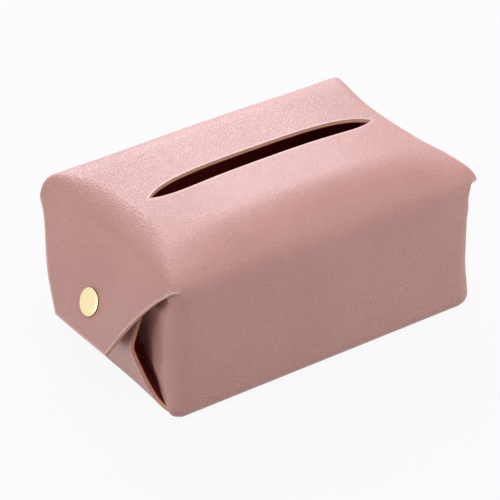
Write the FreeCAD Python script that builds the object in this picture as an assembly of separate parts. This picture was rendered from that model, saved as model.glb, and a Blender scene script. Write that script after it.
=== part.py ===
import FreeCAD, Part
import math
import os
from FreeCAD import Vector

# Overall sizes of the closed cover, in millimetres; the height is at the ends of the top
cover_length = 180.0
cover_width = 118.0
cover_height = 86.0
crown_rise = 8.0
leather = 2.0

# Folds of the sheet: radii are on the outer face
shoulder_radius = 20.0
end_fold_radius = 9.0
base_fold_radius = 7.0
lap_fold_radius = 5.0
side_bend_radius = 10.0

# Ends: the flap leans out from the top, the under flap leans out from the base
top_edge_setback = 5.8
base_edge_setback = 2.0
flap_lean_deg = 22.0
under_lean_deg = 18.0
side_turn_deg = 98.0

# Tissue slot along the middle of the top
slot_length = 132.0
slot_width = 12.0

# End flap outline: half widths, and heights as shares of the cover's height
flap_root_half = 53.0
flap_waist_half = 46.0
flap_waist_share = 0.709
flap_knee_half = 37.5
flap_knee_share = 0.57
flap_tip_half = 22.5
flap_tip_share = 0.32
flap_corner_radius = 3.0

# Under flap outline
knee_radius = 8.0
under_root_half = 51.0
under_waist_half = 36.0
under_waist_height = 9.5
under_neck_half = 30.0
under_neck_share = 0.279
under_tip_half = 26.0
under_tip_share = 0.721
under_corner_radius = 6.0

# Side gussets folded in at the ends of the long walls
gusset_length = 26.0
gusset_root_low = 6.0
gusset_root_drop = 14.0
gusset_tip_low_share = 0.36
gusset_tip_high_share = 0.558

# Base lap, from the back wall, riveted to the base panel
lap_past_middle = 14.0
lap_gap = 0.2
base_free_edge = 8.5

# Press stud that joins the end flap to the under flap
stud_height_share = 0.512
layer_gap = 3.6
cap_diameter = 14.6
cap_thickness = 1.3
cap_edge = 0.5
post_diameter = 4.0
socket_diameter = 11.0
socket_height = 2.5
socket_floor = 0.5
socket_mouth = 7.2
stud_flange_diameter = 11.0
stud_flange = 0.7
stud_head_diameter = 6.4
stud_head_height = 2.0
stud_neck_diameter = 5.6
stud_neck = 0.7
eyelet_diameter = 9.0
eyelet_flange = 0.8

# Rivets through the base and the lap
rivet_inset = 12.0
rivet_diameter = 9.0
rivet_head = 0.8
rivet_shank = 3.2
rivet_tail_diameter = 8.0

# Clearances
hinge_gap = 0.3
hole_clearance = 0.15
overrun = 5.0
same_point = 0.000001

half_length = cover_length / 2
half_width = cover_width / 2
top_edge_reach = half_length - top_edge_setback
base_edge_reach = half_length - base_edge_setback
flap_tip_height = cover_height * flap_tip_share
under_tip_height = cover_height * under_tip_share
stud_height = cover_height * stud_height_share
wall_reach = half_length - side_bend_radius - leather / 2 - hinge_gap
hinge_step = leather / 2 + hinge_gap


def along_x(u, v):
    """A point of a cross-section that is swept along the length."""
    return Vector(0, u, v)


def along_y(u, v):
    """A point of an end profile that is swept across the width."""
    return Vector(u, 0, v)


def along_z(u, v):
    """A point of a plan profile that is swept upward."""
    return Vector(u, v, 0)


def left_of(a, b):
    """Unit normal to the left of the step from a to b."""
    step = (b[0] - a[0], b[1] - a[1])
    size = math.hypot(step[0], step[1])
    return (-step[1] / size, step[0] / size)


def shifted(corners, offset):
    """The path moved to its left by the offset, corner by corner."""
    normals = [left_of(a, b) for a, b in zip(corners, corners[1:])]
    before = normals[:1] + normals
    after = normals + normals[-1:]
    moved = []
    for corner, m, n in zip(corners, before, after):
        reach = offset / (1 + m[0] * n[0] + m[1] * n[1])
        moved.append((corner[0] + (m[0] + n[0]) * reach, corner[1] + (m[1] + n[1]) * reach))
    return moved


def straight(start, end):
    """The line between two points, or nothing where they meet."""
    if start.isEqual(end, same_point):
        return []
    return [Part.makeLine(start, end)]


def rounded(corners, radii, place):
    """Edges of an open path whose inner corners are rounded."""
    points = [place(u, v) for u, v in corners]
    start = points[0]
    edges = []
    for before, corner, after, radius in zip(points, points[1:], points[2:], radii):
        back = (before - corner).normalize()
        on = (after - corner).normalize()
        half = back.getAngle(on) / 2
        tangent = radius / math.tan(half)
        middle = (back + on).normalize() * (radius / math.sin(half) - radius)
        arc = Part.Arc(corner + back * tangent, corner + middle, corner + on * tangent)
        edges += straight(start, corner + back * tangent)
        edges.append(arc.toShape())
        start = corner + on * tangent
    return edges + straight(start, points[-1])


def strip(corners, radii, place):
    """Face of bent leather: the path is its outer side and the sheet lies to the left."""
    inner_corners = shifted(corners, leather)
    inner_radii = []
    for a, b, c, radius in zip(corners, corners[1:], corners[2:], radii):
        turn = (b[0] - a[0]) * (c[1] - b[1]) - (b[1] - a[1]) * (c[0] - b[0])
        inner_radii.append(radius - math.copysign(leather, turn))
    outer = rounded(corners, radii, place)
    inner = rounded(inner_corners, inner_radii, place)
    ends = [
        Part.makeLine(place(*corners[0]), place(*inner_corners[0])),
        Part.makeLine(place(*corners[-1]), place(*inner_corners[-1])),
    ]
    return Part.Face(Part.Wire(Part.__sortEdges__(outer + inner + ends)))


def swept(face, direction, half):
    """The face swept both ways along a direction."""
    start = face.copy()
    start.translate(direction * -half)
    return start.extrude(direction * (2 * half))


def prism(points, direction, half):
    """Prism on a closed outline of points, swept both ways."""
    face = Part.Face(Part.makePolygon(points + points[:1]))
    return swept(face, direction, half)


def polar(angle_deg):
    """Unit step in a profile, measured from the first axis."""
    angle = math.radians(angle_deg)
    return (math.cos(angle), math.sin(angle))


def stepped(start, step, length):
    """The profile point a length away along a unit step."""
    return (start[0] + step[0] * length, start[1] + step[1] * length)


X = Vector(1, 0, 0)
Y = Vector(0, 1, 0)
Z = Vector(0, 0, 1)

# Left end lines, in the plane of length and height
flap_down = polar(270 - flap_lean_deg)
flap_out = polar(180 - flap_lean_deg)
top_edge = (-top_edge_reach, cover_height)
fold_turn = math.radians(90 - flap_lean_deg)
fold_end = stepped(top_edge, flap_down, end_fold_radius * math.tan(fold_turn / 2))
flap_start = stepped(fold_end, flap_down, hinge_step)
flap_axis = stepped(flap_start, flap_out, -leather / 2)

under_up = polar(90 + under_lean_deg)
under_out = polar(180 + under_lean_deg)
base_edge = (-base_edge_reach, 0)
base_turn = math.radians(90 - under_lean_deg)
base_fold_end = stepped(base_edge, under_up, base_fold_radius * math.tan(base_turn / 2))
under_start = stepped(base_fold_end, under_up, hinge_step)
under_axis = stepped(under_start, under_out, -leather / 2)

# The top is a long arc from end to end
crown_radius = (top_edge_reach ** 2 + crown_rise ** 2) / (2 * crown_rise)
crown_centre = (0, cover_height + crown_rise - crown_radius)


def flap_face_at(height, depth):
    """Point at a height on the plane that lies a depth inside the flap's outer face."""
    drop = (top_edge[1] - height) / -flap_down[1]
    return stepped(stepped(top_edge, flap_down, drop), flap_out, -depth)


def crown_corner(inset):
    """Where the top's arc meets the left end's plane, both drawn in by an inset."""
    start = stepped(top_edge, flap_out, -inset)
    gap = (start[0] - crown_centre[0], start[1] - crown_centre[1])
    along = gap[0] * flap_down[0] + gap[1] * flap_down[1]
    beyond = gap[0] ** 2 + gap[1] ** 2 - (crown_radius - inset) ** 2
    return stepped(start, flap_down, -along - math.sqrt(along ** 2 - beyond))


def rounded_block(inset):
    """The cover as a solid, crowned and rounded above, with leaning ends, drawn in by an inset."""
    half = half_width - inset
    reach, level = crown_corner(inset)
    foot = flap_face_at(0, inset)[0]
    corners = [Vector(reach, 0, level), Vector(-reach, 0, level), Vector(-foot, 0, 0), Vector(foot, 0, 0)]
    peak = Vector(0, 0, crown_centre[1] + crown_radius - inset)
    outline = [Part.Arc(corners[0], peak, corners[1]).toShape()]
    outline += [Part.makeLine(a, b) for a, b in zip(corners[1:], corners[2:] + corners[:1])]
    block = swept(Part.Face(Part.Wire(outline)), Y, half)
    shoulders = [e for e in block.Edges if e.CenterOfMass.z > level
                 and abs(e.CenterOfMass.y) > half / 2]
    block = block.makeFillet(shoulder_radius - inset, shoulders)
    rims = [e for e in block.Edges if abs(e.CenterOfMass.x) > wall_reach and e.CenterOfMass.z > leather]
    return block.makeFillet(end_fold_radius - inset, rims)


def turned(shape):
    """The same piece at the right end: a half turn about the upright axis."""
    copy = shape.copy()
    copy.rotate(Vector(0, 0, 0), Z, 180)
    return copy


def mirrored(shape):
    """The same piece on the back wall."""
    return shape.mirror(Vector(0, 0, 0), Y)


def make_wrap():
    """The sheet round the top, long walls, base and lap, with the slot and the end folds."""
    lap_level = leather + lap_gap
    wall_top = cover_height - shoulder_radius - overrun
    back_path = [(-lap_past_middle, lap_level), (half_width, lap_level), (half_width, wall_top)]
    front_path = [(-half_width, wall_top), (-half_width, 0), (half_width - base_free_edge, 0)]
    back = swept(strip(back_path, [lap_fold_radius], along_x), X, wall_reach)
    front = swept(strip(front_path, [base_fold_radius], along_x), X, wall_reach)

    # Crowned top: it runs on over the end folds, down to the flaps' hinge lines
    shell = rounded_block(0).cut(rounded_block(leather))
    low = stepped(fold_end, flap_out, -end_fold_radius / 2)
    peak = cover_height + crown_rise + overrun
    left_side = [
        (-wall_reach, wall_top),
        (-wall_reach, low[1]),
        low,
        stepped(fold_end, flap_out, overrun),
        (fold_end[0] - overrun, peak),
    ]
    outline = left_side + [(-u, v) for u, v in reversed(left_side)]
    crown = shell.common(prism([along_y(u, v) for u, v in outline], Y, cover_width))

    # Fold of the base up to the under flap's hinge line
    fold_path = [base_fold_end, base_edge, (-wall_reach, 0)]
    base_fold = swept(strip(fold_path, [base_fold_radius], along_y), Y, under_root_half)
    wrap = crown.fuse([back, front, base_fold, turned(base_fold)]).removeSplitter()

    # Slot: two arcs that meet in points
    tip = slot_length / 2
    side = slot_width / 2
    low_level = cover_height - leather - overrun
    ends = [Vector(-tip, 0, low_level), Vector(tip, 0, low_level)]
    far = Part.Arc(ends[0], Vector(0, side, low_level), ends[1]).toShape()
    near = Part.Arc(ends[1], Vector(0, -side, low_level), ends[0]).toShape()
    slot = Part.Face(Part.Wire([far, near])).extrude(Z * (peak - low_level))
    return wrap.cut(slot)


def tongue(side, corner):
    """Prism on a tongue's outline, whose side is root, waist, knee and tip, with rounded tip corners."""
    other = [Vector(0, -p.y, p.z) for p in side]
    edges = [
        Part.Arc(side[0], side[1], side[2]).toShape(),
        Part.makeLine(side[2], side[3]),
        Part.makeLine(side[3], other[3]),
        Part.makeLine(other[3], other[2]),
        Part.Arc(other[2], other[1], other[0]).toShape(),
        Part.makeLine(other[0], side[0]),
    ]
    outline = swept(Part.Face(Part.Wire(edges)), X, cover_length)
    tips = [e for e in outline.Edges if abs(e.CenterOfMass.z - side[3].z) < same_point
            and abs(abs(e.CenterOfMass.y) - side[3].y) < same_point]
    return outline.makeFillet(corner, tips)


def make_end_flap():
    """Tongue that hangs from the top: wide at its root, cut in at the sides, square at its tip."""
    tip = flap_face_at(flap_tip_height, 0)
    plate = swept(strip([flap_start, tip], [], along_y), Y, half_width)
    bead = Part.makeCylinder(leather / 2, cover_width, Vector(flap_axis[0], -half_width, flap_axis[1]), Y)
    root_height = flap_start[1] + hinge_step
    right = [
        Vector(0, flap_root_half, root_height),
        Vector(0, flap_waist_half, cover_height * flap_waist_share),
        Vector(0, flap_knee_half, cover_height * flap_knee_share),
        Vector(0, flap_tip_half, flap_tip_height),
    ]
    return plate.fuse(bead).removeSplitter().common(tongue(right, flap_corner_radius))


def make_under_flap():
    """Tongue that rises from the base, bends at the knee and lies behind the end flap."""
    depth = leather + layer_gap
    tip = flap_face_at(under_tip_height, depth)
    drop = (tip[0] - under_start[0]) * under_up[1] - (tip[1] - under_start[1]) * under_up[0]
    knee = stepped(tip, flap_down, drop / math.sin(math.radians(flap_lean_deg + under_lean_deg)))
    path = [tip, knee, under_start]
    plate = swept(strip(path, [knee_radius], along_y), Y, half_width)
    bead = Part.makeCylinder(leather / 2, cover_width, Vector(under_axis[0], -half_width, under_axis[1]), Y)
    root_height = under_start[1] - hinge_step
    right = [
        Vector(0, under_root_half, root_height),
        Vector(0, under_waist_half, under_waist_height),
        Vector(0, under_neck_half, cover_height * under_neck_share),
        Vector(0, under_tip_half, under_tip_height),
    ]
    return plate.fuse(bead).removeSplitter().common(tongue(right, under_corner_radius))


def make_front_gusset():
    """End of the front wall, bent round the corner and folded in behind both flaps."""
    root = -wall_reach - hinge_step
    turn = math.radians(side_turn_deg)
    corner = (root - side_bend_radius * math.tan(turn / 2), -half_width)
    inward = polar(180 - side_turn_deg)
    tip = stepped(corner, inward, side_bend_radius * math.tan(turn / 2) + gusset_length)
    path = [tip, corner, (root, -half_width)]
    sheet = swept(strip(path, [side_bend_radius], along_z), Z, cover_height)
    bead_foot = Vector(root, leather / 2 - half_width, -cover_height)
    bead = Part.makeCylinder(leather / 2, 2 * cover_height, bead_foot, Z)
    root_high = cover_height - gusset_root_drop
    tip_low = cover_height * gusset_tip_low_share
    tip_high = cover_height * gusset_tip_high_share
    outline = [
        Vector(0, -half_width - overrun, gusset_root_low),
        Vector(0, -half_width - overrun, root_high),
        Vector(0, leather - half_width, root_high),
        Vector(0, tip[1], tip_high),
        Vector(0, tip[1] + overrun, tip_high),
        Vector(0, tip[1] + overrun, tip_low),
        Vector(0, tip[1], tip_low),
        Vector(0, leather - half_width, gusset_root_low),
    ]
    return sheet.fuse(bead).removeSplitter().common(prism(outline, X, cover_length))


def lathe(profile, seat, axis):
    """Turned piece: the profile is pairs of radius and rise from the seat along the axis."""
    points = [Vector(radius, 0, rise) for radius, rise in profile]
    face = Part.Face(Part.makePolygon(points + points[:1]))
    solid = face.revolve(Vector(0, 0, 0), Z, 360)
    solid.Placement = FreeCAD.Placement(seat, FreeCAD.Rotation(Z, axis))
    return solid


def at_stud(depth):
    """The place on the stud's axis that lies a depth inside the flap's outer face."""
    return along_y(*flap_face_at(stud_height, 0)) + stud_axis * -depth


# The press stud points out through both flaps, square to the flap
stud_axis = along_y(*flap_out)
cap_radius = cap_diameter / 2
post_radius = post_diameter / 2
stud_hole = post_radius + hole_clearance
socket_seat = leather
stud_seat = leather + layer_gap
eyelet_seat = stud_seat + leather
post_bore_share = 0.6


def make_snap_cap():
    """Flat cap with a softened edge, and the post that passes through the flap."""
    return lathe([
        (0, cap_thickness),
        (cap_radius - cap_edge, cap_thickness),
        (cap_radius, cap_thickness - cap_edge),
        (cap_radius, 0),
        (post_radius, 0),
        (post_radius, -leather - socket_floor),
        (0, -leather - socket_floor),
    ], at_stud(0), stud_axis)


def make_snap_socket():
    """Cup on the flap's inner face, with its mouth toward the under flap."""
    outer = socket_diameter / 2
    mouth = socket_mouth / 2
    return lathe([
        (post_radius, 0),
        (outer, 0),
        (outer, -socket_height),
        (mouth, -socket_height),
        (mouth, -socket_floor),
        (post_radius, -socket_floor),
    ], at_stud(socket_seat), stud_axis)


def make_snap_stud():
    """Flange on the under flap's outer face, with a neck and a wider head."""
    neck = stud_neck_diameter / 2
    head = stud_head_diameter / 2
    head_low = stud_flange + stud_neck
    head_top = stud_flange + stud_head_height
    return lathe([
        (post_radius, 0),
        (stud_flange_diameter / 2, 0),
        (stud_flange_diameter / 2, stud_flange),
        (neck, stud_flange),
        (neck, head_low - (head - neck)),
        (head, head_low),
        (head, head_top),
        (post_radius, head_top),
    ], at_stud(stud_seat), stud_axis)


def make_snap_eyelet():
    """Flange on the under flap's inner face, with a hollow barrel up into the stud."""
    bore = post_radius * post_bore_share
    barrel_top = leather + stud_flange + stud_head_height
    return lathe([
        (bore, -eyelet_flange),
        (eyelet_diameter / 2, -eyelet_flange),
        (eyelet_diameter / 2, 0),
        (post_radius, 0),
        (post_radius, barrel_top),
        (bore, barrel_top),
    ], at_stud(eyelet_seat), stud_axis)


# Rivets stand on the middle line of the base, near each end
rivet_seat = Vector(rivet_inset - wall_reach, 0, 0)
rivet_top = 2 * leather + lap_gap
shank_radius = rivet_shank / 2


def make_rivet():
    """Flat head pressed flush into the base, and a shank up through base and lap."""
    return lathe([
        (0, 0),
        (rivet_diameter / 2, 0),
        (rivet_diameter / 2, rivet_head),
        (shank_radius, rivet_head),
        (shank_radius, rivet_top + rivet_head / 2),
        (0, rivet_top + rivet_head / 2),
    ], rivet_seat, Z)


def make_rivet_cap():
    """Cap pressed on the shank, inside the cover, on top of the lap."""
    radius = rivet_tail_diameter / 2
    return lathe([
        (shank_radius, rivet_top),
        (radius, rivet_top),
        (radius, rivet_top + rivet_head / 2),
        (radius - rivet_head / 2, rivet_top + rivet_head),
        (0, rivet_top + rivet_head),
        (0, rivet_top + rivet_head / 2),
        (shank_radius, rivet_top + rivet_head / 2),
    ], rivet_seat, Z)


def drilled(shape, radius, seat, axis, depth):
    """The shape with a round hole from the seat, both ways along the axis."""
    return shape.cut(Part.makeCylinder(radius, 2 * depth, seat - axis * depth, axis))


# Leather: holes for the posts, shanks and flush rivet heads
wrap = make_wrap()
for place in (rivet_seat, -rivet_seat):
    wrap = drilled(wrap, shank_radius + hole_clearance, place, Z, rivet_top + overrun)
    wrap = drilled(wrap, rivet_diameter / 2 + hole_clearance, place, Z, rivet_head)
end_flap = drilled(make_end_flap(), stud_hole, at_stud(0), stud_axis, layer_gap)
under_flap = drilled(make_under_flap(), stud_hole, at_stud(eyelet_seat), stud_axis, layer_gap)
front_gusset = make_front_gusset()

# Each left piece has a twin at the right end
left_pieces = {
    "end_flap": end_flap,
    "under_flap": under_flap,
    "front_gusset": front_gusset,
    "back_gusset": mirrored(front_gusset),
    "snap_cap": make_snap_cap(),
    "snap_socket": make_snap_socket(),
    "snap_stud": make_snap_stud(),
    "snap_eyelet": make_snap_eyelet(),
    "rivet": make_rivet(),
    "rivet_cap": make_rivet_cap(),
}
twin_names = {"front_gusset": "back_gusset", "back_gusset": "front_gusset"}
nodes = {"leather_wrap": wrap}
for name, shape in left_pieces.items():
    nodes["left_" + name] = shape
    nodes["right_" + twin_names.get(name, name)] = turned(shape)

os.makedirs("parts", exist_ok=True)
for name, shape in nodes.items():
    shape.exportStep("parts/" + name + ".step")
print("flap hinge", [round(v, 3) for v in flap_axis], "under flap hinge", [round(v, 3) for v in under_axis])
print("gusset hinge", round(-wall_reach - hinge_step, 3), round(leather / 2 - half_width, 3))
print("stud seat", [round(v, 3) for v in at_stud(0)])
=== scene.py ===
import bmesh
import bpy
import math
import numpy as np
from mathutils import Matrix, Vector


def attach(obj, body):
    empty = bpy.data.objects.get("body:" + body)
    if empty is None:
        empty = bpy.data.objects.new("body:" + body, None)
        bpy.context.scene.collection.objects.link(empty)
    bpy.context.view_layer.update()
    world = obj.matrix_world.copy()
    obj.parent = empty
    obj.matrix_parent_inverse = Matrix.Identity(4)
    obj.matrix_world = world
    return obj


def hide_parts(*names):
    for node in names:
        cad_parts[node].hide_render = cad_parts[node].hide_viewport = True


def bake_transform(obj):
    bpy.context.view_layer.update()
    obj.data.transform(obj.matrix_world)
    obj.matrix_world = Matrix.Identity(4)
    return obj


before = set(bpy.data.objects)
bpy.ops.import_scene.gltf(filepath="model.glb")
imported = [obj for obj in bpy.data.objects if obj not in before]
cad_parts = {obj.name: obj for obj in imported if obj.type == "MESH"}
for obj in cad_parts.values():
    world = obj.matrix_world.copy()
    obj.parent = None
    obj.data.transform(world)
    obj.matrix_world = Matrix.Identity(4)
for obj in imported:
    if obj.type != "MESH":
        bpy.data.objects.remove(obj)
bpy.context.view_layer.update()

# Leather wrap
# One sheet of soft faux leather, folded round the top, the two long walls and the base.
# Its back edge laps over the base inside the cover, and a long pointed slot is cut in the top.
leather_thickness = 0.002
wrap_half_width = 0.059
wrap_height = 0.086
crown_rise = 0.008
crown_reach = 0.100
middle_shoulder_radius = 0.025
front_slope_radius = 0.220
front_slope_turn = math.radians(13)
back_slope_radius = 0.080
back_slope_turn = math.radians(3)
end_corner_radius = 0.009
base_fold_radius = 0.007
lap_fold_radius = 0.005
lap_level = 0.0022
lap_past_middle = 0.014
base_free_edge = 0.0085
fold_ease = 0.0025
wrap_half_run = 0.074
wall_middle = 0.045
slot_half_length = 0.068
slot_far_half = 0.0062
slot_near_half = 0.0057
slot_shift = 0.002
slot_fullness = 8
seam_strip = 0.0001
line_steps = 6001
ease_samples = 9
quarter = math.pi / 2


def eased(values):
    """Zero up to 0, one from 1 on, and a cubic with level ends between them."""
    t = np.clip(values, 0, 1)
    return t * t * (3 - 2 * t)


def bent_line(start, heading, runs, distance):
    """A sheet seen edge on. Each run is a length and the angle that it turns through: the heading
    grows evenly along a run, is averaged over a few millimetres so that bends ease in and out,
    and the place is the running sum of the heading's unit steps."""
    lengths, turns = np.array(runs).T
    knots = np.concatenate(([0], np.cumsum(lengths)))
    headings = heading + np.concatenate(([0], np.cumsum(turns)))
    fine = np.linspace(0, knots[-1], line_steps)
    shifts = np.linspace(-fold_ease, fold_ease, ease_samples)
    angle = np.mean([np.interp(fine + shift, knots, headings) for shift in shifts], axis=0)
    step = np.diff(fine)
    middle = (angle[1:] + angle[:-1]) / 2
    u = start[0] + np.concatenate(([0], np.cumsum(np.cos(middle) * step)))
    v = start[1] + np.concatenate(([0], np.cumsum(np.sin(middle) * step)))
    u, v, angle = (np.interp(distance, fine, values) for values in (u, v, angle))
    return u, v, angle


ear_reach = 0.006
ear_from_height = 0.050
ear_ease = 0.030
end_sink = 0.001
foot_reach = 0.003
foot_height = 0.030
back_tuck = 0.007
back_tuck_height = 0.045
slack_half_width = 0.056
slack_start = 0.060
slack_ease = 0.025


def softened(place):
    """The slack of the sheet, as shifts along the length that depend on the place alone. Each end's
    upper fold sinks in at its middle and reaches out at its two corners. Low down, the front corners
    reach out and the back corners are drawn in. All grow as the square of the distance from the
    middle line, and die away down the wall and along it."""
    x, y, z = place.T
    upper = eased((z - ear_from_height) / ear_ease)
    foot = foot_reach * eased((foot_height - z) / foot_height)
    tuck = back_tuck * eased((back_tuck_height - z) / back_tuck_height)
    end = eased((np.abs(x) - slack_start) / slack_ease)
    corner = (y / slack_half_width) ** 2
    out = upper * (ear_reach * corner - end_sink) + np.where(y < 0, foot, -tuck) * corner
    return np.stack((x + np.sign(x) * end * out, y, z), axis=1)


def grid_faces(rows, columns, first=0):
    """Four-sided faces of a grid whose points run along its columns first."""
    corner = np.arange((rows - 1) * columns).reshape(rows - 1, columns)[:, :-1].ravel() + first
    return np.stack((corner, corner + 1, corner + columns + 1, corner + columns), axis=1)


def leather_piece(name, place, faces, cut):
    """A closed piece of sheet: the outer face is given and is turned to look away from the middle of
    the cover, the inner face lies one thickness along the averaged face normals behind it, and every
    free edge is joined by a cut edge. Two values are kept at each point for the finish: the depth
    through the sheet, from 0 to 1, and the distance to the nearest free edge point marked as cut."""
    a, b, c, d = (place[faces[:, k]] for k in range(4))
    across = np.cross(c - a, d - b)
    away = (a + c) / 2 - np.array([0, 0, wrap_height / 2])
    if np.sum(across * away) < 0:
        faces = faces[:, ::-1]
        across = -across
    normal = np.zeros_like(place)
    for k in range(4):
        np.add.at(normal, faces[:, k], across)
    normal /= np.linalg.norm(normal, axis=1)[:, None]
    count = len(place)
    following = np.roll(faces, -1, axis=1)
    edges = np.stack((faces.T.ravel(), following.T.ravel()), axis=1)
    key = np.sort(edges, axis=1) @ np.array([count, 1])
    which, shared_by = np.unique(key, return_inverse=True, return_counts=True)[1:]
    free = edges[shared_by[which] == 1]
    rim = np.stack((free[:, 1], free[:, 0], free[:, 0] + count, free[:, 1] + count), axis=1)
    points = np.concatenate((place, place - normal * leather_thickness))
    polygons = np.concatenate((faces, faces[:, ::-1] + count, rim))
    mesh = bpy.data.meshes.new(name)
    mesh.from_pydata(points.tolist(), [], polygons.tolist())
    side = np.repeat([0, 1, 2], [len(faces), len(faces), len(rim)]).astype(np.int32)
    mesh.polygons.foreach_set("material_index", side)
    mesh.polygons.foreach_set("use_smooth", np.ones(len(polygons), dtype=bool))
    pairs = np.zeros(len(mesh.edges) * 2, dtype=np.int32)
    mesh.edges.foreach_get("vertices", pairs)
    pair_key = np.sort(pairs.reshape(-1, 2), axis=1) @ np.array([2 * count, 1])
    rim_key = np.sort(np.concatenate((free, free + count)), axis=1) @ np.array([2 * count, 1])
    mesh.edges.foreach_set("use_edge_sharp", np.isin(pair_key, rim_key))
    rim_points = np.unique(free)
    rim_points = place[rim_points[cut[rim_points]]]
    squares = np.sum(place ** 2, axis=1)[:, None] + np.sum(rim_points ** 2, axis=1)
    apart = squares - 2 * place @ rim_points.T
    gap = np.sqrt(np.clip(apart.min(axis=1), 0, None))
    depth = np.repeat([0.0, 1.0], count)
    for label, values in (("sheet_depth", depth), ("edge_gap", np.tile(gap, 2))):
        kept = mesh.attributes.new(label, "FLOAT", "POINT")
        kept.data.foreach_set("value", values.astype(np.float32))
    mesh.update()
    piece = bpy.data.objects.new(name, mesh)
    bpy.context.scene.collection.objects.link(piece)
    return piece


def slope_and_corner(radius, turn):
    """A top that falls away on a wide arc and then turns down round a corner: the two runs, and how
    far they go sideways and down."""
    rest = quarter - turn
    runs = [(radius * turn, turn), (end_corner_radius * rest, rest)]
    sideways = radius * math.sin(turn) + end_corner_radius * (1 - math.sin(turn))
    down = radius * (1 - math.cos(turn)) + end_corner_radius * math.cos(turn)
    return runs, sideways, down


back_runs, back_sideways, back_down = slope_and_corner(back_slope_radius, back_slope_turn)
front_runs, front_sideways, front_down = slope_and_corner(front_slope_radius, front_slope_turn)
wrap_runs = [
    (wrap_half_width - lap_fold_radius + lap_past_middle, 0),
    (lap_fold_radius * quarter, quarter),
    (wrap_height - back_down - lap_level - lap_fold_radius, 0),
    *reversed(back_runs),
    (2 * wrap_half_width - back_sideways - front_sideways, 0),
    *front_runs,
    (wrap_height - front_down - base_fold_radius, 0),
    (base_fold_radius * quarter, quarter),
    (2 * wrap_half_width - base_fold_radius - base_free_edge, 0),
]
wrap_marks = np.cumsum([length for length, turn in wrap_runs])
lap_fold_end = wrap_marks[1]
top_middle = wrap_marks[4] + wrap_half_width - back_sideways
front_wall_foot = wrap_marks[8]
base_fold_end = wrap_marks[9]
base_middle = wrap_marks[10] - wrap_half_width + base_free_edge


def back_wall_at(height):
    """How far round the wrap the back wall reaches a height."""
    return lap_fold_end + height - lap_level - lap_fold_radius


def front_wall_at(height):
    """How far round the wrap the front wall comes down to a height."""
    return front_wall_foot - height + base_fold_radius


middle_side = wrap_height + crown_rise - middle_shoulder_radius - wall_middle
middle_runs = [
    (middle_side, 0),
    (middle_shoulder_radius * quarter, quarter),
    (2 * (wrap_half_width - middle_shoulder_radius), 0),
    (middle_shoulder_radius * quarter, quarter),
    (middle_side, 0),
]
middle_girth = sum(length for length, turn in middle_runs)
crown_side_ease = 0.3


def end_section(girth):
    """The wrap's outer face seen along its length at an end, from the lap's free edge round to the
    base's: sideways place, height and heading."""
    return bent_line((-lap_past_middle, lap_level), 0, wrap_runs, girth)


def crown_shift(girth, x):
    """How far the stuffed middle stands off the end section: both upper halves are walked at the same
    share of their girth, and the difference dies away towards the ends as the square of one less the
    cube of the length."""
    walk = [back_wall_at(wall_middle), top_middle, front_wall_at(wall_middle)]
    share = np.interp(girth, walk, [-1, 0, 1])
    end_y, end_z = end_section(np.interp(share, [-1, 0, 1], walk))[:2]
    middle_walk = (1 + share) / 2 * middle_girth
    y, z = bent_line((wrap_half_width, wall_middle), quarter, middle_runs, middle_walk)[:2]
    fade = np.clip(1 - np.abs(x / crown_reach) ** 3, 0, 1) ** 2
    fade = fade * eased((1 - np.abs(share)) / crown_side_ease)
    return (y - end_y) * fade, (z - end_z) * fade


def wrap_place(x, girth):
    """A point of the wrap: the end section, moved by the crown."""
    y, z = end_section(girth)[:2]
    shift_y, shift_z = crown_shift(girth, x)
    return np.stack((x, y + shift_y, z + shift_z), axis=1)


# The grid is split along the slot, and the two halves meet again beyond the slot's pointed ends
wrap_row_count = 75
back_column_count = 190
front_column_count = 220
slot_column_count = 16
slot_border = 0.014
slot_shut = 1e-6
slot_tip_shares = [0.91, 0.94, 0.96, 0.975, 0.985, 0.993, 0.998, 1]
both_ways = np.array([-1, 1])
wrap_rows = np.unique(np.round(np.concatenate((
    np.linspace(-wrap_half_run, wrap_half_run, wrap_row_count),
    (wrap_half_run - seam_strip) * both_ways,
    slot_shift + slot_half_length * np.outer(both_ways, slot_tip_shares).ravel(),
)), 6))
along_slot = np.clip((wrap_rows - slot_shift) / slot_half_length, -1, 1)
slot_open = 1 - np.abs(along_slot) ** slot_fullness
far_fixed = np.linspace(0, top_middle - slot_border, back_column_count)
near_fixed = np.linspace(top_middle + slot_border, wrap_marks[-1], front_column_count)
share = np.linspace(0, 1, slot_column_count)
far_edge = top_middle - slot_far_half * slot_open
near_edge = top_middle + slot_near_half * slot_open
far_girth = np.concatenate((
    np.repeat(far_fixed[None, :-1], len(wrap_rows), axis=0),
    far_fixed[-1] + (far_edge - far_fixed[-1])[:, None] * share,
), axis=1)
near_girth = np.concatenate((
    near_edge[:, None] + (near_fixed[0] - near_edge)[:, None] * share,
    np.repeat(near_fixed[None, 1:], len(wrap_rows), axis=0),
), axis=1)
wrap_points = []
for girth in (far_girth, near_girth):
    wrap_points.append(wrap_place(np.repeat(wrap_rows, girth.shape[1]), girth.ravel()))
far_count = len(wrap_points[0])
wrap_faces = np.concatenate((
    grid_faces(len(wrap_rows), far_girth.shape[1]),
    grid_faces(len(wrap_rows), near_girth.shape[1], far_count),
))
same = np.arange(far_count + len(wrap_points[1]))
closed = np.flatnonzero(slot_open < slot_shut)
far_last = (closed + 1) * far_girth.shape[1] - 1
same[far_count + closed * near_girth.shape[1]] = far_last
used, wrap_faces = np.unique(same[wrap_faces], return_inverse=True)
wrap_faces = wrap_faces.reshape(-1, 4)
wrap_points = np.concatenate(wrap_points)[used]
wrap_cut = np.abs(wrap_points[:, 0]) < wrap_half_run - seam_strip / 2
wrap_piece = leather_piece("leather_wrap_sheet", softened(wrap_points), wrap_faces, wrap_cut)

# The outer face of the leather is a soft coat pressed with a fine pebble grain, the inner face is a
# wine-red felted backing, and the raw cut edge shows the tan core of the sheet between the two.


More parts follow.
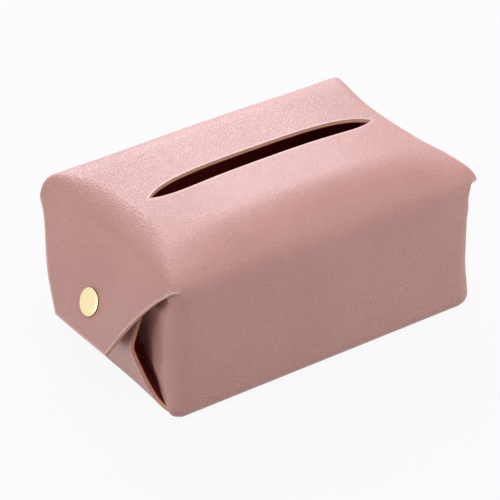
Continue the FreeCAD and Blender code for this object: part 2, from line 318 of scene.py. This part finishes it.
def add_node(tree, kind, sockets, **settings):
    """A shader node with its settings made, and its sockets filled or linked."""
    node = tree.nodes.new("ShaderNode" + kind)
    for name, value in settings.items():
        setattr(node, name, value)
    for name, value in sockets.items():
        if isinstance(value, bpy.types.NodeSocket):
            tree.links.new(value, node.inputs[name])
        else:
            node.inputs[name].default_value = value
    return node


def new_finish(name):
    """A material with its shader and its object-space place."""
    material = bpy.data.materials.new(name)
    material.use_nodes = True
    tree = material.node_tree
    place = add_node(tree, "TexCoord", {}).outputs["Object"]
    return material, tree, tree.nodes["Principled BSDF"], place


def noise(tree, place, scale, detail=3.0):
    """Fractal noise, from 0 to 1, with a number of lumps to the metre."""
    sockets = {"Vector": place, "Scale": scale, "Detail": detail}
    return add_node(tree, "TexNoise", sockets).outputs["Fac"]


def remapped(tree, value, low, high, to_low, to_high):
    """A value carried from one range to another, and held at the ends."""
    sockets = {"Value": value, "From Min": low, "From Max": high, "To Min": to_low, "To Max": to_high}
    return add_node(tree, "MapRange", sockets).outputs["Result"]


def mixed(tree, share, first, second):
    """One colour going over to another as the share goes from 0 to 1."""
    sockets = {"Factor": share, "A": first, "B": second}
    return add_node(tree, "Mix", sockets, data_type="RGBA").outputs["Result"]


def raised(tree, height, distance, strength, under=None):
    """A bump whose height is a value, laid over another bump."""
    sockets = {"Height": height, "Distance": distance, "Strength": strength}
    if under:
        sockets["Normal"] = under
    return add_node(tree, "Bump", sockets).outputs["Normal"]


pink = (0.605, 0.305, 0.274, 1)
pink_deep = (0.55, 0.266, 0.237, 1)
# The crease pink below is painted shade for the hollows between the grain's pebbles.
pink_crease_shade = (0.42, 0.192, 0.168, 1)
# The pale pink below is a painted highlight, laid along the cut edges where a rounded edge would catch
# the light.
pink_edge_highlight = (0.76, 0.49, 0.45, 1)
pebbles_per_metre = 1300
wander_per_metre = 700
wander_reach = (0.0006, 0.0006, 0.0006)
tone_patches_per_metre = 22
gloss_patches_per_metre = 480
dents_per_metre = 60
pores_per_metre = 4200
dent_depth = 0.0012
pebble_depth = 0.00027
pore_depth = 0.00004
edge_highlight_full = 0.0008
edge_highlight_end = 0.0017
pink_leather, tree, shader, place = new_finish("pink_leather")
wander = add_node(tree, "TexNoise", {"Vector": place, "Scale": wander_per_metre, "Detail": 2.0})
sockets = {0: wander.outputs["Color"], 1: wander_reach, 2: place}
wandering = add_node(tree, "VectorMath", sockets, operation="MULTIPLY_ADD").outputs["Vector"]
pebble = add_node(tree, "TexVoronoi", {"Vector": wandering, "Scale": pebbles_per_metre})
pebble_top = remapped(tree, pebble.outputs["Distance"], 0.15, 0.75, 1, 0)
patch = remapped(tree, noise(tree, place, tone_patches_per_metre, 5), 0.3, 0.7, 0, 1)
tone = mixed(tree, patch, pink_deep, pink)
# The hollows between the pebbles are darkened with painted shade.
tone = mixed(tree, remapped(tree, pebble_top, 0, 0.5, 0.22, 0), tone, pink_crease_shade)
# Near the cut edges the colour goes over to the pale pink: a painted highlight of the edge, not real
# wear.
edge_gap = add_node(tree, "Attribute", {}, attribute_name="edge_gap").outputs["Fac"]
edge_highlight = remapped(tree, edge_gap, edge_highlight_full, edge_highlight_end, 0.75, 0)
tree.links.new(mixed(tree, edge_highlight, tone, pink_edge_highlight), shader.inputs["Base Color"])
gloss = remapped(tree, noise(tree, place, gloss_patches_per_metre), 0.3, 0.7, 0.42, 0.54)
tree.links.new(gloss, shader.inputs["Roughness"])
relief = raised(tree, noise(tree, place, dents_per_metre), dent_depth, 0.25)
relief = raised(tree, pebble_top, pebble_depth, 0.9, relief)
relief = raised(tree, noise(tree, place, pores_per_metre), pore_depth, 0.5, relief)
tree.links.new(relief, shader.inputs["Normal"])
shader.inputs["Specular IOR Level"].default_value = 0.65
shader.inputs["Coat Weight"].default_value = 0.25
shader.inputs["Coat Roughness"].default_value = 0.38

lining = (0.56, 0.085, 0.080, 1)
lining_deep = (0.42, 0.060, 0.056, 1)
felt_fibres_per_metre = 2600
felt_lumps_per_metre = 350
felt_backing, tree, shader, place = new_finish("felt_backing")
fibre = noise(tree, place, felt_fibres_per_metre, 6)
tree.links.new(mixed(tree, fibre, lining_deep, lining), shader.inputs["Base Color"])
relief = raised(tree, noise(tree, place, felt_lumps_per_metre), 0.0004, 0.4)
tree.links.new(raised(tree, fibre, 0.0003, 0.6, relief), shader.inputs["Normal"])
shader.inputs["Roughness"].default_value = 0.95

core_tan = (0.66, 0.36, 0.24, 1)
core_pale = (0.80, 0.50, 0.36, 1)
core_fibres_per_metre = 2400
cut_edge, tree, shader, place = new_finish("cut_edge")
fibre = noise(tree, place, core_fibres_per_metre, 6)
tone = mixed(tree, fibre, core_tan, core_pale)
sheet_depth = add_node(tree, "Attribute", {}, attribute_name="sheet_depth").outputs["Fac"]
tone = mixed(tree, remapped(tree, sheet_depth, 0.10, 0.22, 1, 0), tone, pink)
tone = mixed(tree, remapped(tree, sheet_depth, 0.80, 0.92, 0, 1), tone, lining)
tree.links.new(tone, shader.inputs["Base Color"])
tree.links.new(raised(tree, fibre, 0.0003, 0.7), shader.inputs["Normal"])
shader.inputs["Roughness"].default_value = 0.8


def dressed(piece, node, width, length):
    """Gives a sheet its three finishes and hides the solid that it stands for. The width and length are
    not used.
    """
    for material in (pink_leather, felt_backing, cut_edge):
        piece.data.materials.append(material)
    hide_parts(node)


dressed(wrap_piece, "leather_wrap", 2 * wrap_half_run, float(wrap_marks[-1]))
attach(wrap_piece, "cover")

# End flaps
# At each end the top runs on over a soft fold, rounded at both corners like a hood, and hangs down
# as a tongue. A slit at each corner frees it, and its sides draw in evenly to a square tip.
flap_lean = math.radians(22)
flap_edge_reach = 0.0842
flap_fold_radius = 0.0145
flap_corner_radius = 0.005
flap_corner_from = 0.3
flap_corner_ease = 0.55
flap_settle = 4
flap_tip_drop = 0.0631
flap_tip_half = 0.0226
flap_taper = 0.62
flap_flare = 0.0054
flap_flare_rise = 0.052
flap_flare_ease = 0.0055
flap_belly = 0.004
stud_height = 0.04403
stud_dimple = 0.022
slit_fall = 0.0050
notch_height = 0.0740
slit_start = 0.083
flap_blank = (0.150, 0.095)
flap_out = np.array([-math.cos(flap_lean), 0, math.sin(flap_lean)])
flap_down = np.array([-math.sin(flap_lean), 0, -math.cos(flap_lean)])
flap_edge = np.array([-flap_edge_reach, 0, wrap_height])
notch_walk = [back_wall_at(notch_height), top_middle, front_wall_at(notch_height)]


def flap_half(drop):
    """Half width of the flap at a drop below the top's edge: a straight taper to the tip, joined to a
    flare that grows exponentially towards the notch."""
    rise = flap_tip_drop - drop
    flare = flap_flare * np.exp((rise - flap_flare_rise) / flap_flare_ease)
    return flap_tip_half + flap_taper * rise + flare


def rolled_rim(girth, radius):
    """A ball rolls along the inside of the end section and the flap's plane: the ball's centre and the
    section's outward normal."""
    y, z, heading = end_section(girth)
    normal = np.stack((np.zeros_like(y), np.sin(heading), -np.cos(heading)), axis=-1)
    core = np.stack((np.zeros_like(y), y, z), axis=-1) - normal * radius
    core[..., :1] = -(radius + ((core - flap_edge) @ flap_out)[..., None]) / flap_out[0]
    return core, normal


def flap_surface(columns, tube_rows, fold_rows, hang_rows):
    """Three stretches of one sheet. First the end section runs straight out. Then the sheet follows a
    rolled ball that is smaller at the corners: each point turns evenly from the section's normal to
    the flap's, while the slit falls as the square of the turn. Last the flap hangs: along a column
    the drop grows evenly to the tip, the share of the half width soon goes from where the column left
    the rim to its share of the tip, and the sheet bellies out as a half sine wave that is drawn in at
    the stud."""
    girth = np.interp(columns, [-1, 0, 1], notch_walk)
    to_corner = eased((np.abs(columns) - flap_corner_from) / flap_corner_ease)[:, None]
    radius = flap_fold_radius + (flap_corner_radius - flap_fold_radius) * to_corner
    core, normal = rolled_rim(girth, radius)
    start = core + normal * radius
    tube = np.repeat(start[None], len(tube_rows), axis=0)
    tube[..., 0] = -wrap_half_run + (start[:, 0] + wrap_half_run) * tube_rows[:, None]
    fold_girth = girth + columns * slit_fall * fold_rows[:, None] ** 2
    core, normal = rolled_rim(fold_girth, radius)
    turn = np.arccos(np.clip(normal @ flap_out, -1, 1))
    bend = turn * fold_rows[:, None]
    from_wall = (np.sin(turn - bend) / np.sin(turn))[..., None]
    from_flap = (np.sin(bend) / np.sin(turn))[..., None]
    fold = core + (from_wall * normal + from_flap * flap_out) * radius
    rim = fold[-1]
    rim_drop = (rim - flap_edge) @ flap_down
    share = rim[:, 1] / flap_half(rim_drop)
    hang = hang_rows[:, None]
    drop = rim_drop + (flap_tip_drop - rim_drop) * hang
    flap = flap_edge + drop[..., None] * flap_down
    settled = 1 - (1 - hang) ** flap_settle
    flap[..., 1] = (share + (-columns - share) * settled) * flap_half(drop)
    stud_y = flap[..., 1] / stud_dimple
    stud_z = (flap[..., 2] - stud_height) / stud_dimple
    off_stud = stud_y ** 2 + stud_z ** 2
    belly = flap_belly * np.sin(math.pi * hang) * (1 - np.exp(-off_stud))
    flap += belly[..., None] * flap_out
    place = np.concatenate((tube, fold[1:], flap[1:]))
    all_girth = np.concatenate((
        np.repeat(girth[None], len(tube), axis=0),
        fold_girth[1:],
        np.repeat(fold_girth[-1:], len(flap) - 1, axis=0),
    ))
    shift_y, shift_z = crown_shift(all_girth, place[..., 0])
    place[..., 1] += shift_y
    place[..., 2] += shift_z
    return place


# A narrow column along each side and a narrow first row keep the shading crisp at the edges
flap_column_count = 121
tube_row_count = 7
fold_row_count = 21
hang_row_count = 60
edge_share = 0.001
first_row_share = 0.01
flap_columns = np.linspace(-1, 1, flap_column_count)
flap_columns = np.insert(flap_columns, [1, -1], [edge_share - 1, 1 - edge_share])
tube_rows = np.insert(np.linspace(0, 1, tube_row_count), 1, first_row_share)
fold_rows = np.linspace(0, 1, fold_row_count)
hang_rows = np.linspace(0, 1, hang_row_count)
flap_grid = flap_surface(flap_columns, tube_rows, fold_rows, hang_rows)
flap_faces = grid_faces(*flap_grid.shape[:2])
left_flap = flap_grid.reshape(-1, 3)
flap_cut = left_flap[:, 0] < -slit_start
left_flap = softened(left_flap)
for end, sign in (("left", 1), ("right", -1)):
    piece = leather_piece(end + "_end_flap_sheet", left_flap * (sign, 1, 1), flap_faces, flap_cut)
    dressed(piece, end + "_end_flap", *flap_blank)
    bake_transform(piece)

# Under flaps
# A strap of the base runs on over a fold at each end, rises, bends at a knee and lies behind the end
# flap, where the press stud joins the two. Its sides are cut back in a long curve from the base.
under_lean = math.radians(18)
under_edge_reach = 0.088
under_strap_half = 0.0297
under_root_limit = 0.0565
under_notch_ease = 0.0100
under_snip = 0.8
under_tip_corner = 0.006
under_turn = quarter - under_lean
under_tangent = base_fold_radius * math.tan(under_turn / 2)
knee_radius = 0.008
knee_turn = flap_lean + under_lean
under_rise = 0.0255
under_upper = 0.029
under_blank = (0.110, 0.085)
under_runs = [
    (under_edge_reach - under_tangent - wrap_half_run, 0),
    (base_fold_radius * under_turn, -under_turn),
    (under_rise, 0),
    (knee_radius * knee_turn, -knee_turn),
    (under_upper, 0),
]
under_marks = np.cumsum([length for length, turn in under_runs])
fold_count = 40
strap_count = 44
under_rows = np.concatenate((
    [0, seam_strip],
    np.linspace(0, under_marks[1], fold_count)[1:-1],
    np.linspace(under_marks[1], under_marks[4], strap_count),
))


def under_half(distance):
    """Half width of the base and strap: the base's root, then a notch that dies away exponentially
    to the strap's straight sides, with rounded tip corners."""
    past = distance - under_marks[0]
    left = np.clip((under_marks[4] - distance) / under_tip_corner, 0, 1)
    notch = (under_root_limit - under_strap_half) * np.exp(-past / under_notch_ease)
    side = np.minimum(under_strap_half + notch, under_root_limit)
    return side - under_tip_corner * (1 - np.sqrt(1 - (1 - left) ** 2))


def under_place(rows, across):
    """The base's edge-on line, with the base's own section hung inside it along its inward normal."""
    x, z, heading = bent_line((-wrap_half_run, 0), math.pi, under_runs, rows)
    y, depth = end_section(base_middle + across)[:2]
    return np.stack((x + depth * np.sin(heading), y, z - depth * np.cos(heading)), axis=1)


under_column_count = 81
under_columns = np.linspace(0, 1, under_column_count)
front_side = under_half(under_rows)[:, None]
back_limit = wrap_half_width - base_free_edge - under_snip * under_rows
back_side = np.minimum(front_side, np.maximum(back_limit, under_strap_half)[:, None])
under_across = -front_side + (front_side + back_side) * under_columns
left_under = under_place(np.repeat(under_rows, len(under_columns)), under_across.ravel())
under_cut = left_under[:, 0] < -wrap_half_run - seam_strip / 2
left_under = softened(left_under)
under_faces = grid_faces(len(under_rows), len(under_columns))
for end, sign in (("left", 1), ("right", -1)):
    piece = leather_piece(end + "_under_flap_sheet", left_under * (sign, 1, 1), under_faces, under_cut)
    dressed(piece, end + "_under_flap", *under_blank)
    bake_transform(piece)

# Side gussets
# The ends of the long walls turn the corner round a soft ridge and fold in behind both flaps.
# They are cut square, and their edges are hidden while the cover is closed.
gusset_turn = math.radians(106)
gusset_bend_start = 0.081
gusset_bend_radius = 0.010
gusset_length = 0.036
gusset_foot_lift = 0.002
gusset_top_rise = 0.010
gusset_lift_start = 0.010
gusset_rise_start = 0.024
gusset_edge_ease = 0.014
gusset_tuck = 0.0018
gusset_tuck_start = 0.007
gusset_tuck_ease = 0.008
gusset_deep_tuck = 0.003
gusset_deep_start = 0.015
gusset_deep_ease = 0.010
flap_cover_height = 0.056
flap_cover_ease = 0.012
strap_cover_height = 0.022
strap_cover_ease = 0.014
back_foot_reach = 0.005
gusset_blank = (0.065, 0.078)
gusset_runs = [
    (gusset_bend_start - wrap_half_run, 0),
    (gusset_bend_radius * gusset_turn, -gusset_turn),
    (gusset_length, 0),
]
gusset_marks = np.cumsum([length for length, turn in gusset_runs])
gusset_row_count = 60
gusset_column_count = 61
gusset_rows = np.insert(np.linspace(0, gusset_marks[2], gusset_row_count), 1, seam_strip)
gusset_columns = np.linspace(0, 1, gusset_column_count)
gusset_columns = np.insert(gusset_columns, [1, -1], [edge_share, 1 - edge_share])


def gusset_place(rows, girth, wall):
    """The corner's plan line, with the wall's own section hung inside it along its inward normal, and
    tucked in further where it passes behind the end flap above and the under flap below. The wall
    is -1 at the front and 1 at the back."""
    x, inward, heading = bent_line((-wrap_half_run, 0), math.pi, gusset_runs, rows)
    section_y, z = end_section(girth)[:2]
    shift_y, shift_z = crown_shift(girth, x)
    depth = wrap_half_width - wall * (section_y + shift_y)
    deep_tuck = gusset_deep_tuck * eased((rows - gusset_deep_start) / gusset_deep_ease)
    tuck = gusset_tuck * eased((rows - gusset_tuck_start) / gusset_tuck_ease) + deep_tuck
    depth += tuck * eased((z - flap_cover_height) / flap_cover_ease)
    depth += deep_tuck * eased((strap_cover_height - z) / strap_cover_ease)
    y = wall * (wrap_half_width - inward + depth * np.cos(heading))
    return np.stack((x + depth * np.sin(heading), y, z + shift_z), axis=1)


# Each wall's girth runs from its upper notch to its foot, and both edges rise a little past the corner
lift = eased((gusset_rows - gusset_lift_start) / gusset_edge_ease)[:, None]
rise = eased((gusset_rows - gusset_rise_start) / gusset_edge_ease)[:, None]
front_foot = base_fold_end - (under_root_limit - wrap_half_width + base_fold_radius)
gusset_faces = grid_faces(len(gusset_rows), len(gusset_columns))
for wall_name, wall, top, foot in (
    ("front", -1, notch_walk[2], front_foot),
    ("back", 1, notch_walk[0], lap_fold_end - back_foot_reach),
):
    high = top + wall * gusset_top_rise * rise
    low = foot + wall * gusset_foot_lift * lift
    girth = high + (low - high) * gusset_columns
    left_gusset = gusset_place(np.repeat(gusset_rows, len(gusset_columns)), girth.ravel(), wall)
    gusset_cut = left_gusset[:, 0] < -slit_start
    left_gusset = softened(left_gusset)
    for end, sign in (("left", 1), ("right", -1)):
        name = end + "_" + wall_name + "_gusset"
        piece = leather_piece(name + "_sheet", left_gusset * (sign, 1, 1), gusset_faces, gusset_cut)
        dressed(piece, name, *gusset_blank)
        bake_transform(piece)

# Press studs
# Plated brass, pressed together through the leather: a flat polished cap with a post outside the end
# flap and a cup-shaped socket inside it, and a stud with a hollow eyelet through the under flap.
gold_pale = (0.96, 0.83, 0.52, 1)
gold_warm = (0.93, 0.77, 0.45, 1)
# The dark gold below is a painted dark reflection for the rims of the turned pieces.
gold_dark_reflection = (0.30, 0.19, 0.08, 1)
gold_clouds_per_metre = 90
polish_marks_per_metre = 900
gold_waves_per_metre = 160
polished_gold, tree, shader, place = new_finish("polished_gold")
tone = mixed(tree, noise(tree, place, gold_clouds_per_metre), gold_warm, gold_pale)
# The widest band of each turned piece is painted dark: a painted reflection, not the brass's own
# colour.
rim = add_node(tree, "Attribute", {}, attribute_name="rim").outputs["Fac"]
tree.links.new(mixed(tree, rim, tone, gold_dark_reflection), shader.inputs["Base Color"])
polish = remapped(tree, noise(tree, place, polish_marks_per_metre, 5), 0.3, 0.7, 0.20, 0.27)
tree.links.new(polish, shader.inputs["Roughness"])
relief = raised(tree, noise(tree, place, gold_waves_per_metre), 0.0001, 0.10)
tree.links.new(relief, shader.inputs["Normal"])
shader.inputs["Metallic"].default_value = 1
turned_sides = 72
corner_steps = 7
rim_band = 0.0002
merge_distance = 1e-7


def turned_piece(name, corners, seat, axis, ring):
    """A turned piece: corners are rows of radius, rise along the axis and rounding. Each rounded corner
    is a parabola between the points that lie its rounding away along both sides, and the profile is
    carried round the axis. A ring's profile closes on itself, and any other ends on the axis. The
    widest points are marked as the rim, where the finish paints a dark reflection."""
    corners = np.array(corners)
    before = np.roll(corners, 1, axis=0)
    after = np.roll(corners, -1, axis=0)
    place = corners[:, :2]
    rounding = corners[:, 2:]
    to_before = before[:, :2] - place
    to_after = after[:, :2] - place
    start = place + to_before / np.linalg.norm(to_before, axis=1)[:, None] * rounding
    finish = place + to_after / np.linalg.norm(to_after, axis=1)[:, None] * rounding
    t = np.linspace(0, 1, corner_steps)[:, None, None]
    curve = (1 - t) ** 2 * start + 2 * t * (1 - t) * place + t ** 2 * finish
    profile = curve.transpose(1, 0, 2).reshape(-1, 2)
    if ring:
        profile = np.concatenate((profile, profile[:1]))
    side = np.array([0, 1, 0])
    up = np.cross(axis, side)
    angle = np.linspace(0, 2 * math.pi, turned_sides + 1)[:, None]
    spoke = np.cos(angle) * side + np.sin(angle) * up
    points = np.array(seat) + profile[:, None, 1:] * axis + profile[:, None, :1] * spoke
    mesh = bpy.data.meshes.new(name)
    mesh.from_pydata(points.reshape(-1, 3).tolist(), [], grid_faces(*points.shape[:2]).tolist())
    rim = np.repeat(profile[:, 0] > profile[:, 0].max() - rim_band, turned_sides + 1)
    kept = mesh.attributes.new("rim", "FLOAT", "POINT")
    kept.data.foreach_set("value", rim.astype(np.float32))
    shell = bmesh.new()
    shell.from_mesh(mesh)
    bmesh.ops.remove_doubles(shell, verts=shell.verts, dist=merge_distance)
    bmesh.ops.recalc_face_normals(shell, faces=shell.faces)
    shell.to_mesh(mesh)
    shell.free()
    mesh.polygons.foreach_set("use_smooth", np.ones(len(mesh.polygons), dtype=bool))
    mesh.materials.append(polished_gold)
    piece = bpy.data.objects.new(name, mesh)
    bpy.context.scene.collection.objects.link(piece)
    return piece


stud_seat = np.array([-0.101156, 0, 0.044032])
# Each piece's body, whether it is a ring, its depth below the flap's face and its profile
stud_pieces = {
    "snap_cap": ("flap_body", False, 0.0, [
        (0, 0.0013, 0), (0.0050, 0.00127, 0.0008), (0.0073, 0.0010, 0.0004),
        (0.0073, 0, 0.0001), (0.0020, 0, 0.0001), (0.0020, -0.0025, 0.0003), (0, -0.0025, 0),
    ]),
    "snap_socket": ("flap_body", True, 0.0020, [
        (0.0020, 0, 0.0001), (0.0055, 0, 0.0003), (0.0055, -0.0008, 0.0003),
        (0.0049, -0.0011, 0.0003), (0.0049, -0.0025, 0.0004), (0.0036, -0.0025, 0.0003),
        (0.0036, -0.0005, 0.0003), (0.0020, -0.0005, 0.0001),
    ]),
    "snap_stud": ("under_body", True, 0.0056, [
        (0.0020, 0, 0.0001), (0.0055, 0, 0.0002), (0.0055, 0.0007, 0.0003),
        (0.0028, 0.0007, 0.0003), (0.0028, 0.0011, 0.0002), (0.0032, 0.0016, 0.0003),
        (0.0031, 0.0027, 0.0006), (0.0020, 0.0027, 0.0002),
    ]),
    "snap_eyelet": ("under_body", True, 0.0076, [
        (0.0012, -0.0008, 0.0003), (0.0045, -0.0008, 0.0004), (0.0045, 0, 0.0002),
        (0.0020, 0, 0.0001), (0.0020, 0.0047, 0.0002), (0.0012, 0.0047, 0.0002),
    ]),
}
for end, sign in (("left", 1), ("right", -1)):
    for name, (body, ring, depth, corners) in stud_pieces.items():
        axis = flap_out * (sign, 1, 1)
        seat = stud_seat * (sign, 1, 1) - axis * depth
        piece = turned_piece(end + "_" + name + "_turned", corners, seat, axis, ring)
        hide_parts(end + "_" + name)
        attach(piece, end + "_" + body)

# Rivets
# Two brass rivets hold the lap down on the base: a flat head pressed flush from below, and a shank
# that is capped inside the cover.
rivet_seat = np.array([-0.0667, 0, 0])
rivet_pieces = {
    "rivet": (False, [
        (0, 0, 0), (0.0045, 0, 0.0003), (0.0045, 0.0008, 0.0002), (0.0016, 0.0008, 0.0001),
        (0.0016, 0.0046, 0.0001), (0, 0.0046, 0),
    ]),
    "rivet_cap": (True, [
        (0.0016, 0.0042, 0.0001), (0.0040, 0.0042, 0.0001), (0.0040, 0.0046, 0.0002),
        (0.0030, 0.0050, 0.0006), (0.0004, 0.0050, 0.0002), (0.0004, 0.0046, 0.0001),
        (0.0016, 0.0046, 0.0001),
    ]),
}
upright = np.array([0, 0, 1])
for end, sign in (("left", 1), ("right", -1)):
    for name, (ring, corners) in rivet_pieces.items():
        seat = rivet_seat * (sign, 1, 1)
        piece = turned_piece(end + "_" + name + "_turned", corners, seat, upright, ring)
        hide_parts(end + "_" + name)
        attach(piece, "cover")

# Floor, light and camera
# A white table under four soft studio lamps: one behind, whose sheen lies on the top, a wide one
# overhead, and weaker ones at the front right and low at the left.
floor_reach = 3
floor_points = [
    (-floor_reach, -floor_reach, 0), (floor_reach, -floor_reach, 0),
    (floor_reach, floor_reach, 0), (-floor_reach, floor_reach, 0),
]
floor_mesh = bpy.data.meshes.new("floor")
floor_mesh.from_pydata(floor_points, [], [(0, 1, 2, 3)])
floor = bpy.data.objects.new("floor", floor_mesh)
bpy.context.scene.collection.objects.link(floor)


def seen_straight(tree):
    """One for rays from the camera, from a mirror or through glass, and zero for the light itself."""
    rays = add_node(tree, "LightPath", {}).outputs
    sockets = {0: rays["Is Camera Ray"], 1: rays["Is Glossy Ray"]}
    either = add_node(tree, "Math", sockets, operation="MAXIMUM").outputs["Value"]
    sockets = {0: either, 1: rays["Is Transmission Ray"]}
    return add_node(tree, "Math", sockets, operation="MAXIMUM").outputs["Value"]


white = (1, 1, 1, 1)
floor_grey = (0.5, 0.5, 0.5, 1)
floor_glow_share = 0.92
pale_floor, tree, shader, place = new_finish("pale_floor")
shader.inputs["Base Color"].default_value = floor_grey
shader.inputs["Roughness"].default_value = 0.9
glow = add_node(tree, "Emission", {"Color": white, "Strength": 1.0}).outputs["Emission"]
glow_share = remapped(tree, seen_straight(tree), 0, 1, 0, floor_glow_share)
table = add_node(tree, "MixShader", {0: glow_share, 1: shader.outputs["BSDF"], 2: glow})
tree.links.new(table.outputs["Shader"], tree.nodes["Material Output"].inputs["Surface"])
floor_mesh.materials.append(pale_floor)

ambient_strength = 0.30
world = bpy.data.worlds.new("studio")
world.use_nodes = True
tree = world.node_tree
ambient = tree.nodes["Background"]
ambient.inputs["Color"].default_value = white
ambient.inputs["Strength"].default_value = ambient_strength
paper = add_node(tree, "Background", {"Color": white, "Strength": 1.0})
studio = add_node(tree, "MixShader", {
    0: seen_straight(tree), 1: ambient.outputs["Background"], 2: paper.outputs["Background"],
})
tree.links.new(studio.outputs["Shader"], tree.nodes["World Output"].inputs["Surface"])
bpy.context.scene.world = world


def turned_to(holder, place, aim):
    """Stands a lamp or camera at a place and turns it to look at a point."""
    sight = Vector(np.array(aim) - np.array(place))
    holder.location = place
    holder.rotation_euler = sight.to_track_quat("-Z", "Y").to_euler()
    bpy.context.scene.collection.objects.link(holder)


cover_middle = (0, 0, 0.04)
warm_white = (1, 0.98, 0.96)
cool_white = (0.90, 0.90, 1)
for name, place, size, power, colour in (
    ("back_lamp", (0.38, 0.88, 0.66), 0.7, 10.5, cool_white),
    ("top_lamp", (-0.10, -0.32, 0.85), 0.7, 3.6, warm_white),
    ("front_lamp", (0.45, -0.60, 0.35), 0.5, 1.3, warm_white),
    ("left_lamp", (-0.80, 0.12, 0.16), 0.4, 1.7, warm_white),
):
    lamp = bpy.data.lights.new(name, "AREA")
    lamp.size = size
    lamp.energy = power
    lamp.color = colour
    turned_to(bpy.data.objects.new(name, lamp), place, cover_middle)

camera_data = bpy.data.cameras.new("camera")
camera_data.sensor_width = 36
camera_data.lens = 215.5
camera_data.clip_end = 20
azimuth = math.radians(-35.53)
elevation = math.radians(31.66)
camera_distance = 1.502
aim = np.array([-0.0058, 0, 0.0394])
sight = np.array([
    math.sin(azimuth) * math.cos(elevation),
    -math.cos(azimuth) * math.cos(elevation),
    math.sin(elevation),
])
camera = bpy.data.objects.new("camera", camera_data)
turned_to(camera, aim + sight * camera_distance, aim)
bpy.context.scene.camera = camera
bpy.context.scene.view_settings.view_transform = "Standard"
